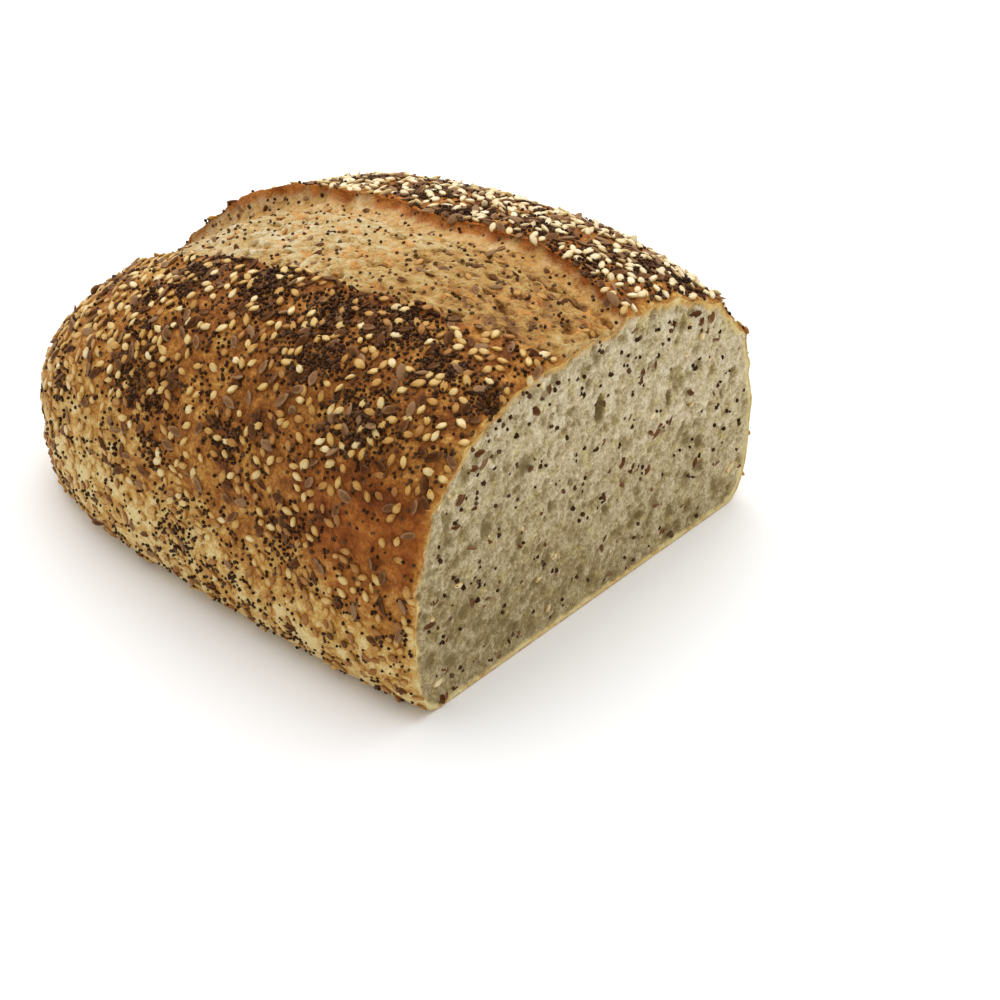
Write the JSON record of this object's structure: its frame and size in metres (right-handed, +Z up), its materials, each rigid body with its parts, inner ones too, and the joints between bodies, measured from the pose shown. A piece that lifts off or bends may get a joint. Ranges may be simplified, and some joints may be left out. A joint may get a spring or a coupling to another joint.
{
  "type": "seeded bread loaf",
  "caption": "Oblong seeded bloomer loaf with its front end cut off square, a pale seeded crumb face, an opened score with a raised lip along the top and a flat base.",
  "frame": {"origin": "bottom centre of the bounding box, on the surface that the loaf stands on", "axes": "+X along the loaf towards the cut face, +Y towards the side with the raised lip of the score, +Z up"},
  "size_m": [0.1516, 0.1304, 0.0825],
  "materials": {
    "crust": "baked bread crust with seeds, matt, with the pale crumb showing at the cut"
  },
  "bodies": {
    "root": {"loaf": "crust"}
  },
  "joints": []
}
